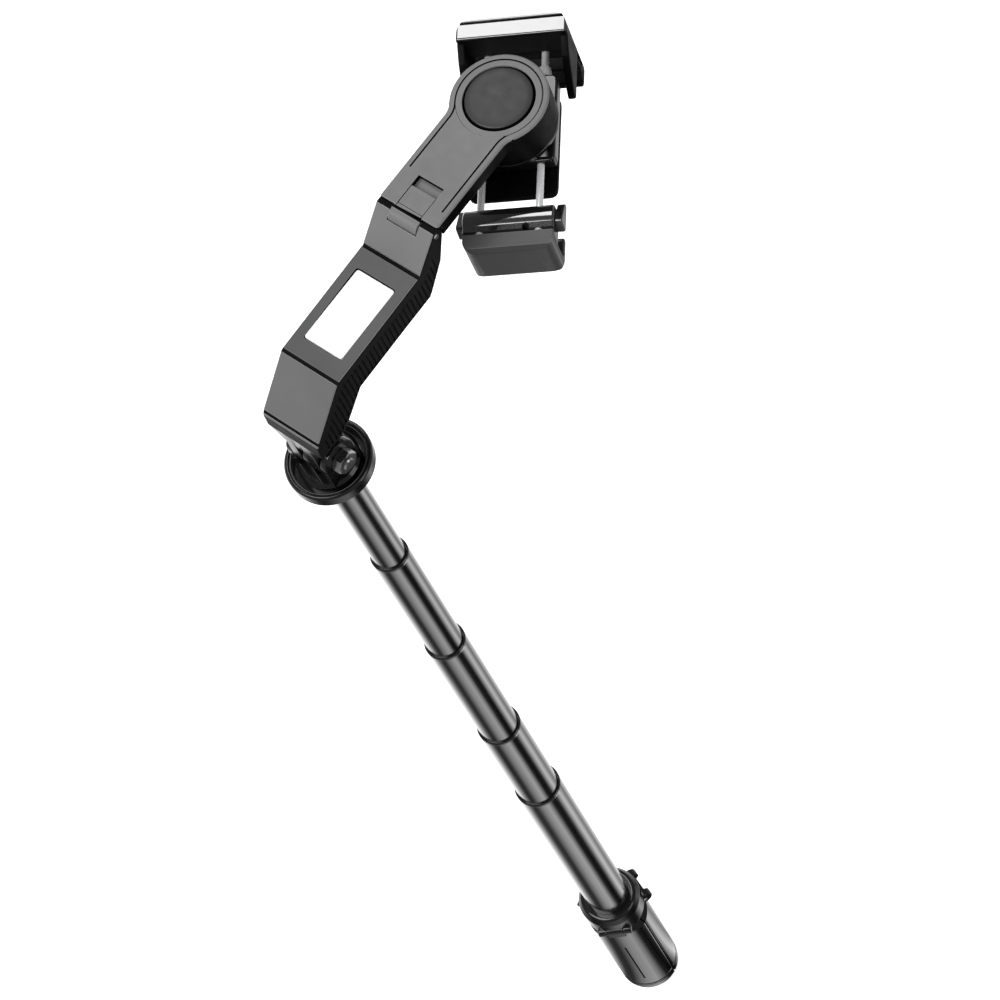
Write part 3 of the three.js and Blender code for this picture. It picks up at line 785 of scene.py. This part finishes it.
def plate_edge(inset, start, end):
    """The plate's edge from its right straight side, round the ring, to its left side."""
    half, ring, blend = ARM_HALF - inset, RING_RADIUS - inset, PLATE_FILLET + inset
    dy = math.sqrt((RING_RADIUS + PLATE_FILLET) ** 2 - (ARM_HALF + PLATE_FILLET) ** 2)
    touch = math.degrees(math.atan2(dy, ARM_HALF + PLATE_FILLET))
    side = ARM_HALF + PLATE_FILLET
    return (
        [(half, start)]
        + arc(side, MOTOR_Y - dy, blend, 180, 180 - touch, 10)
        + arc(0, MOTOR_Y, ring, -touch, 180 + touch, 90)
        + arc(-side, MOTOR_Y - dy, blend, touch, 0, 10)
        + [(-half, end)]
    )


def plate_channel():
    """Cutter for the fine line that follows the plate's edge and runs round the ring."""
    outer = plate_edge(1.9, 76, 84)
    inner = plate_edge(2.6, 76, 84)
    return prism("channel", outer + inner[::-1], PLATE_TOP - 0.4, PLATE_TOP + 1, "seam_and_shade_black")


def plate_end_cutters():
    """Cutters beside the knuckle, where the lower arm's cheeks turn."""
    cutters = []
    for x0, x1 in ((-20, -KNUCKLE_HALF - 0.02), (KNUCKLE_HALF + 0.02, 20)):
        relief = (x0, x1, PLATE_START - 1, PLATE_START + 1.9, 630, 633)
        cutters.append(rod("room", KNUCKLE_ROOM, x0, x1, "black_matte", FOLD_AXIS, 0.0, 64))
        cutters.append(boxes("relief", [relief], "black_matte"))
    return cutters


def motor_housing():
    """The drum under the ring, the fold's knuckle and the neck behind it."""
    r, low, top = RING_RADIUS - 0.02, span("upper_arm")[0].z, PLATE_TOP
    half = KNUCKLE_HALF
    section = [(0, low), (r - 1.2, low), (r, low + 1.2), (r, top - 1), (0, top - 1)]
    return [
        lathe("drum", section, "black_matte", 128, MOTOR),
        rod("knuckle", KNUCKLE_RADIUS, -half, half, "grey_shell", FOLD_AXIS, 0.2, 64),
        boxes("neck", [(-half, half, FOLD_Y, PLATE_START + 4, PLATE_BOTTOM, top)], "grey_shell"),
    ]


def motor_cutters():
    """Cutters for the motor's room, the cap's throat and step, and the fold pin."""
    return [
        rod("cavity", 14.6, 600, PLATE_TOP - 2.4, "seam_and_shade_black", MOTOR, 0.0, 96),
        rod("step", 14.8, PLATE_TOP - 0.7, 650, "grey_shell", MOTOR, 0.0, 128),
        rod("throat", CAP_RADIUS + 0.4, 600, 650, "seam_and_shade_black", MOTOR, 0.0, 128),
        rod("pin_hole", 1.2, -20, 20, "steel", FOLD_AXIS, 0.0),
    ]


def make_upper_arm():
    """The plate with the motor's ring: body, drum, knuckle, latch pocket and fine lines."""
    top = PLATE_TOP
    edge = plate_edge(0, PLATE_START, PLATE_START)
    upper = prism("upper_shell", edge, PLATE_BOTTOM, top, "grey_shell", bevel=0.7, segments=3)
    combine(upper, "DIFFERENCE", *plate_end_cutters())
    combine(upper, "UNION", *motor_housing())
    combine(upper, "DIFFERENCE", *motor_cutters())
    lo, hi = span("latch_slider")
    half = KNUCKLE_HALF + 0.01
    pocket = (lo.x - 0.25, hi.x + 0.25, lo.y - 0.25, hi.y + 4.1, lo.z - 0.1, 650)
    guides = [(x - 0.15, x + 0.15, PLATE_START, lo.y, top - 0.25, top + 1) for x in (lo.x, hi.x)]
    hinge_line = (-half, half, PLATE_START - 0.75, PLATE_START + 0.35, top - 0.9, top + 1)
    lines = boxes("lines", [hinge_line, *guides], "seam_and_shade_black")
    combine(upper, "DIFFERENCE", boxes("pocket", [pocket], "seam_and_shade_black"), plate_channel(), lines)
    paint(upper, "black_matte", lambda c, n: c.z < top - 0.9 and abs(n.z) < 0.5 and c.y > PLATE_START + 2)
    # painted shade: the pocket's walls keep the cutter's near-black while its floor is painted back to grey
    paint(upper, "grey_shell", lambda c, n: n.z > 0.9 and abs(c.z - lo.z) < 0.3 and lo.x < c.x < hi.x)
    settle(upper, "grey_shell", "upper_arm")


def make_motor():
    """The bright ring, the domed lid with its side painted near-black as painted shade, and the stator
    under it.
    """
    lo, hi = span("motor_trim")
    band = ring_profile(hi.x, CAP_RADIUS + 0.5, lo.z, hi.z, 0.2)
    settle(lathe("motor_band", band, "grey_shell", 128, MOTOR), "grey_shell", "motor_trim")
    r, low, rise = CAP_RADIUS - 0.35, CAP_LO.z, 0.35
    edge = CAP_HI.z - rise
    dome = [(0, low), (r, low), (r, edge - 0.7), (r - 0.2, edge - 0.3), (r - 0.7, edge)]
    dome += [(r * s, edge + rise * (1 - s * s)) for s in (0.8, 0.6, 0.4, 0.2, 0.0)]
    lid = lathe("motor_lid", dome, "cap_grey_and_jaw_sheen", 128, MOTOR)
    # painted shade: the lid's side wall is painted near-black all round
    paint(lid, "seam_and_shade_black", lambda c, n: n.z < 0.5)
    settle(lid, "grey_shell", "motor_cap")
    lo, hi = span("motor_stator")
    coil = ring_profile(hi.x, 5, lo.z, hi.z, 1.0)
    stator = lathe("stator_coil", coil, "copper", 96, MOTOR)
    paint(stator, "seam_and_shade_black", lambda c, n: n.z > 0.5)
    settle(stator, "copper", "motor_stator")


def make_latch():
    """The thumb slider of the fold's lock, with a shallow hollow on top."""
    lo, hi = span("latch_slider")
    slider = boxes("latch_thumb", [(lo.x, hi.x, lo.y, hi.y, lo.z, hi.z)], "grey_shell", 0.25)
    hollow = (lo.x + 1.3, hi.x - 1.3, lo.y + 1.0, hi.y - 1.2, hi.z - 0.12, hi.z + 1)
    combine(slider, "DIFFERENCE", boxes("hollow", [hollow], "grey_shell"))
    settle(slider, "grey_shell", "latch_slider")


# ---- clamp ----------------------------------------------------------------------------

ROD_U, ROD_W, ROD_RADIUS = 10.0, -21.7, 1.25
CHEEK_WIDTH = 2.6


def along_v(u, w):
    """Carries a lathe's Z axis onto the clamp's v axis."""
    return CLAMP @ Matrix.Translation((u, 0, w)) @ Matrix.Rotation(-math.pi / 2, 4, "X")


def slab(name, node, corner, bevel, material, segments=2):
    """A plate that fills a clamp node's box, with rounded corners."""
    lo, hi = clamp_span(node)
    outline = fillet(rectangle(lo.x, hi.x, lo.y, hi.y), corner)
    return prism(name, outline, lo.z, hi.z, material, bevel=bevel, place=CLAMP, segments=segments)


def make_rotor():
    flange = [
        (0, -19.4), (10, -19.4), (10, -18.2), (16.2, -18.2), (16.4, -18.0), (16.4, -16.6),
        (16.2, -16.4), (4.4, -16.4), (4.4, -4.4), (0, -4.4),
    ]
    rotor = lathe("rotor_flange", flange, "tube_metal", 128, CLAMP)
    paint(rotor, "black_gloss", lambda c, n: abs(n.z) < 0.9)
    settle(rotor, "steel", "motor_rotor")


def make_clamp_body():
    """The block under the motor, with a seat for the rotor and room for rods and bushes."""
    block = slab("clamp_block", "clamp_body", 2.5, 0.8, "black_gloss", 3)
    cuts = [rod("seat", 10.1, -19.5, -10, "seam_and_shade_black", CLAMP, 0.0, 96)]
    for u in (-ROD_U, ROD_U):
        cuts.append(boxes("pocket", [(u - 3.4, u + 3.4, -12.4, -5, -30, -10)], "black_matte", place=CLAMP))
        cuts.append(rod("hole", ROD_RADIUS + 0.1, -80, 80, "seam_and_shade_black", along_v(u, ROD_W), 0.0))
    combine(block, "DIFFERENCE", *cuts)
    settle(block, "black_gloss", "clamp_body")


def make_back_plate():
    """The plate behind the phone and its grooved pad."""
    plate = slab("back_panel", "back_plate", 3.0, 0.6, "black_matte")
    settle(plate, "black_gloss", "back_plate")
    pad = slab("back_cushion", "back_pad", 2.5, 0.35, "rubber")
    lo, hi = clamp_span("back_pad")
    grooves = [(u, u + 0.9, lo.y - 1, hi.y + 1, lo.z - 1, lo.z + 0.35) for u in range(-14, 15, 3)]
    combine(pad, "DIFFERENCE", boxes("grooves", grooves, "rubber", place=CLAMP))
    settle(pad, "rubber", "back_pad")


def make_rods_and_bushes():
    wide, narrow, bore = 2.8, 2.1, ROD_RADIUS + 0.1
    for side, u in (("left", -ROD_U), ("right", ROD_U)):
        for end in ("upper", "lower"):
            lo, hi = clamp_span(f"{end}_rod_{side}")
            bar = rod(f"{end}_bar_{side}", ROD_RADIUS, lo.y, hi.y, "rod_chrome", along_v(u, ROD_W))
            settle(bar, "steel", f"{end}_rod_{side}")
            lo, hi = clamp_span(f"{end}_bush_{side}")
            shape = [
                (bore, lo.y), (wide - 0.3, lo.y), (wide, lo.y + 0.3), (narrow, hi.y - 0.2),
                (narrow - 0.2, hi.y), (bore, hi.y),
            ]
            bush = lathe(f"{end}_guide_{side}", shape, "bush_white", 64, along_v(u, ROD_W))
            settle(bush, "white_panel", f"{end}_bush_{side}")


def rod_seats(low, high):
    """Cutters for the ends of a jaw's two rods."""
    seats = []
    for u in (-ROD_U, ROD_U):
        seats.append(rod("seat", ROD_RADIUS + 0.05, low, high, "seam_and_shade_black", along_v(u, ROD_W), 0.0))
    return seats


def jaw_sides(name, outline, corner, bevel, spans):
    """Side plates of a jaw, one for each span across the clamp."""
    sides = []
    for u0, u1 in spans:
        sides.append(prism(name, fillet(outline, corner), u0, u1, "black_gloss", "X", bevel, CLAMP))
    return sides


def make_upper_jaw():
    """The hook over the phone's top edge, with rounded front corners and two cheeks."""
    lo, hi = clamp_span("upper_jaw")
    left, right, top, lip, back = lo.x, hi.x, hi.y, lo.z, hi.z
    phone = top - 6.6
    hook = [
        (top - 1.6, lip), (top, lip + 1.6), (top, back - 2.4), (top - 2.4, back), (top - 9.4, back),
        (top - 9.4, -19), (phone - 0.6, -24.4), (phone - 0.6, -27.6), (phone + 1, -27.6),
        (phone + 1, -36.3), (phone - 6.6, -36.3), (phone - 6.6, lip + 0.8), (phone - 5.6, lip),
    ]
    jaw = prism("upper_grip", fillet(hook, 1.0), left, right, "jaw_gloss", "X", 0.8, CLAMP, 3)
    front = fillet(rectangle(left, right, 0, top), 8, 10)
    combine(jaw, "INTERSECT", prism("front", front, -60, 0, "jaw_gloss", place=CLAMP))
    groove = (left - 1, right + 1, top - 3.6, top - 2.7, back - 0.5, back + 1)
    brow = boxes("brow", [groove], "seam_and_shade_black", place=CLAMP)
    cheek = [(top - 8.4, -10), (top - 5, -26.6), (14.4, -27.4), (13.2, -26), (14.6, -23.2), (23, -14)]
    spans = ((left, left + CHEEK_WIDTH), (right - CHEEK_WIDTH, right))
    combine(jaw, "UNION", *jaw_sides("cheek", cheek, 1.5, 0.5, spans))
    combine(jaw, "DIFFERENCE", brow, *rod_seats(20, phone + 5.1))
    paint(jaw, "black_matte", lambda c, n: n.z < 0.5 or (IN_CLAMP @ c).y < top - 9.6)
    settle(jaw, "black_gloss", "upper_jaw")


def make_lower_jaw():
    """The hook under the phone's bottom edge: a barrel, a step, a notch and two wings, with painted sheen
    in grey on its lower faces.
    """
    lo, hi = clamp_span("lower_jaw")
    left, right, bottom, lip = lo.x + 2.5, hi.x - 2.5, lo.y, lo.z
    phone = bottom + 5.6
    barrel = arc(phone + 6.2, -25, 5.9, 45, 115, 20)
    hook = [
        (bottom, lip + 1.4), (bottom + 1.4, lip), (phone + 5.4, lip), (phone + 6.4, lip + 0.8),
        (phone + 6.4, -36.3), (phone - 1, -36.3), (phone - 1, -27.6), (phone + 10.4, -27.6), *barrel,
        (bottom + 1.6, -20.6), (bottom, -22.2),
    ]
    jaw = prism("lower_grip", fillet(hook, 0.8), left, right, "black_gloss", "X", 0.7, CLAMP, 3)
    front = fillet(rectangle(left, right, bottom, 0), 5.5, 8)
    combine(jaw, "INTERSECT", prism("front", front, -60, 0, "black_gloss", place=CLAMP))
    groove = (left - 1, right + 1, phone + 0.9, phone + 1.9, -22.0, -10)
    step = boxes("step", [groove], "seam_and_shade_black", place=CLAMP)
    notch_place = CLAMP @ Matrix.Translation((6, phone + 2.6, 0))
    notch = rod("notch", 1.3, -24, -10, "seam_and_shade_black", notch_place, 0.0, 24)
    cheek = [(phone + 4, -20.4), (phone + 3, -27.4), (-27.6, -27.4), (-26.8, -26), (-28, -24.4)]
    spans = ((right - 0.15, hi.x), (lo.x, left + 0.15))
    combine(jaw, "UNION", *jaw_sides("wing", cheek, 1.2, 0.4, spans))
    combine(jaw, "DIFFERENCE", step, notch, *rod_seats(phone + 1.2, 0))
    paint(jaw, "jaw_gloss", lambda c, n: n.z > 0.5 and (IN_CLAMP @ c).y > phone + 1.9)
    # painted highlight: the upward faces below the step take the window frame's dark grey
    paint(jaw, "frame_grey_and_jaw_sheen", lambda c, n: n.z > 0.5 and (IN_CLAMP @ c).y < phone + 0.9)
    # painted sheen: the faces turned down the phone take the motor cap's grey
    paint(jaw, "cap_grey_and_jaw_sheen", lambda c, n: (IN_CLAMP.to_3x3() @ n).y < -0.5)
    settle(jaw, "black_gloss", "lower_jaw")


def make_jaw_pads():
    for end in ("upper", "lower"):
        lo, hi = clamp_span(f"{end}_jaw_pad")
        corners = (lo.x, hi.x, lo.y, hi.y, lo.z, hi.z)
        pad = boxes(f"{end}_grip_pad", [corners], "rubber", 0.25, CLAMP)
        settle(pad, "rubber", f"{end}_jaw_pad")


# ---- studio ---------------------------------------------------------------------------

# where the camera stands (metres), which way it looks, and its lens (millimetres)
CAMERA_FROM = Vector((0.54528, -0.21848, 1.58839))
CAMERA_LOOK = Vector((-0.42243, 0.20728, -0.88238))
CAMERA_UP = Vector((-0.48104, 0.77382, 0.41207))
CAMERA_LENS = 124.566

FLOOR_RADIUS = 14 / MM
CARD_RADIUS, CARD_HEIGHT = 8000, 1

# how bright the ring of reflected studio looks, by degrees from the camera's own direction
STUDIO_RING = (
    (-180, 1.6), (-125, 1.3), (-98, 0.5), (-78, 0.06), (-60, 0.05), (-50, 0.2), (-30, 0.6),
    (-4, 0.95), (10, 0.4), (20, 0.04), (35, 0.005), (48, 0.04), (62, 0.6), (76, 1.3), (88, 0.85),
    (106, 0.3), (128, 0.8), (180, 1.6),
)


def make_camera():
    data = bpy.data.cameras.new("camera")
    data.lens = CAMERA_LENS
    camera = bpy.data.objects.new("camera", data)
    right = CAMERA_LOOK.cross(CAMERA_UP).normalized()
    up = right.cross(CAMERA_LOOK).normalized()
    turn = Matrix((right, up, -CAMERA_LOOK.normalized())).transposed()
    camera.matrix_world = Matrix.Translation(CAMERA_FROM) @ turn.to_4x4()
    bpy.context.scene.collection.objects.link(camera)
    bpy.context.scene.camera = camera


def softbox(name, place, target, width, height, power):
    data = bpy.data.lights.new(name, "AREA")
    data.shape = "RECTANGLE"
    data.size = width
    data.size_y = height
    data.energy = power
    light = bpy.data.objects.new(name, data)
    light.location = place
    light.rotation_mode = "QUATERNION"
    light.rotation_quaternion = (Vector(target) - Vector(place)).to_track_quat("-Z", "Y")
    light.visible_camera = False
    bpy.context.scene.collection.objects.link(light)


def stage_disc(name, radius, height, material):
    """A flat disc that belongs to the studio and not to the object."""
    bm = bmesh.new()
    place = Matrix.Translation((0, 0, height))
    bmesh.ops.create_circle(bm, cap_ends=True, segments=96, radius=radius, matrix=place)
    disc = make_object(name, bm, "rubber")
    disc.data.materials[0] = material
    return disc


def make_floor():
    """A white floor that glows a little, so that it stays white behind the object."""
    material, tree, shader = principled("floor", 0.6, specular=0.1)
    cloud = remap(tree, grain(tree, 3, 2.0), 0.0, 1.0)
    colour = tint(tree, cloud, (0.9, 0.9, 0.9), (0.93, 0.93, 0.93))
    tree.links.new(colour, shader.inputs["Base Color"])
    shader.inputs["Emission Color"].default_value = (1, 1, 1, 1)
    shader.inputs["Emission Strength"].default_value = 0.75
    stage_disc("floor", FLOOR_RADIUS, 0, material)


def make_studio_ring():
    """A card on the floor that only reflections see, graded by angle about the pole."""
    material, tree, shader = principled("studio_ring", 0.9, specular=0.0)
    shader.inputs["Base Color"].default_value = (0, 0, 0, 1)
    shader.inputs["Emission Strength"].default_value = 1.0
    coords = tree.nodes.new("ShaderNodeTexCoord")
    mapping = tree.nodes.new("ShaderNodeMapping")
    mapping.inputs["Rotation"].default_value = (0, 0, -math.atan2(-CAMERA_LOOK.y, -CAMERA_LOOK.x))
    sweep = tree.nodes.new("ShaderNodeTexGradient")
    sweep.gradient_type = "RADIAL"
    ramp = tree.nodes.new("ShaderNodeValToRGB")
    stops = ramp.color_ramp.elements
    while len(stops) < len(STUDIO_RING):
        stops.new(0.5)
    for stop, (angle, level) in zip(stops, STUDIO_RING):
        stop.position = 0.5 + angle / 360
        stop.color = (level, level, level, 1)
    tree.links.new(coords.outputs["Object"], mapping.inputs["Vector"])
    tree.links.new(mapping.outputs["Vector"], sweep.inputs["Vector"])
    tree.links.new(sweep.outputs["Color"], ramp.inputs["Fac"])
    tree.links.new(ramp.outputs["Color"], shader.inputs["Emission Color"])
    card = stage_disc("studio_ring", CARD_RADIUS, CARD_HEIGHT, material)
    card.visible_camera = False
    card.visible_diffuse = False
    card.visible_shadow = False


def make_lights():
    softbox("key", (-0.3, -1.1, 2.3), (0, 0.1, 0.5), 1.4, 1.4, 36)
    softbox("strip", (-0.75, 0.6, 1.9), (0, 0.12, 0.6), 0.25, 0.9, 5)
    softbox("side", (1.6, 0.6, 1.4), (0, 0.1, 0.4), 0.8, 1.2, 6)
    world = bpy.data.worlds.new("studio")
    world.use_nodes = True
    backdrop = world.node_tree.nodes["Background"]
    backdrop.inputs["Color"].default_value = (1, 1, 1, 1)
    backdrop.inputs["Strength"].default_value = 0.25
    bpy.context.scene.world = world
    bpy.context.scene.view_settings.view_transform = "Standard"


make_camera()
make_floor()
make_lights()
make_studio_ring()

make_handle()
make_pole()
make_head()
make_lower_arm()
make_panel()
make_upper_arm()
make_motor()
make_latch()
make_rotor()
make_clamp_body()
make_back_plate()
make_rods_and_bushes()
make_upper_jaw()
make_lower_jaw()
make_jaw_pads()
